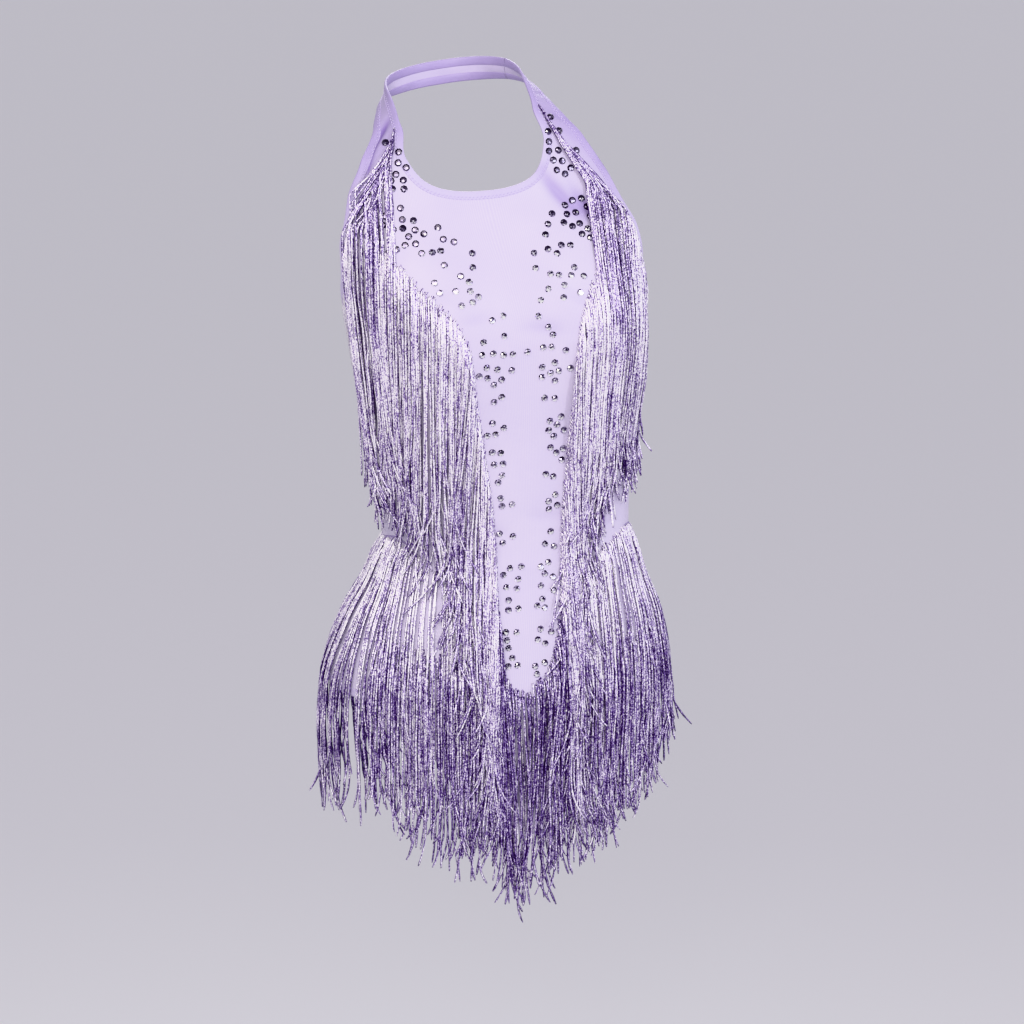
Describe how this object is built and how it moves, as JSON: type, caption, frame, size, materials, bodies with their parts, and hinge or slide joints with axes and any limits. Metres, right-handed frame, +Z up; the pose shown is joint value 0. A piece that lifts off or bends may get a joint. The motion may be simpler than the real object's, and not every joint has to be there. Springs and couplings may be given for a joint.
{
  "type": "fringed halter bodysuit",
  "caption": "Backless halter-neck stage bodysuit in stretch cloth, with long glitter chainette fringe on the armholes, front and hips, in its hollow worn form.",
  "frame": {"origin": "nape: inner face of the nape band at its centre, where the halter hangs on the wearer's neck", "axes": "+Z up as worn, -Y the front, +X the wearer's left"},
  "size_m": [0.3294, 0.2278, 0.7808],
  "materials": {
    "lycra": "soft sheen",
    "chainette": "metallic glitter"
  },
  "bodies": {
    "root": {"front_panel": "lycra", "back_panel": "lycra", "crotch_gusset": "lycra", "nape_band": "lycra", "fringe_armhole_left": "chainette", "fringe_armhole_right": "chainette", "fringe_princess_left": "chainette", "fringe_princess_right": "chainette", "fringe_hip_left": "chainette", "fringe_hip_right": "chainette", "fringe_back": "chainette"}
  },
  "joints": []
}
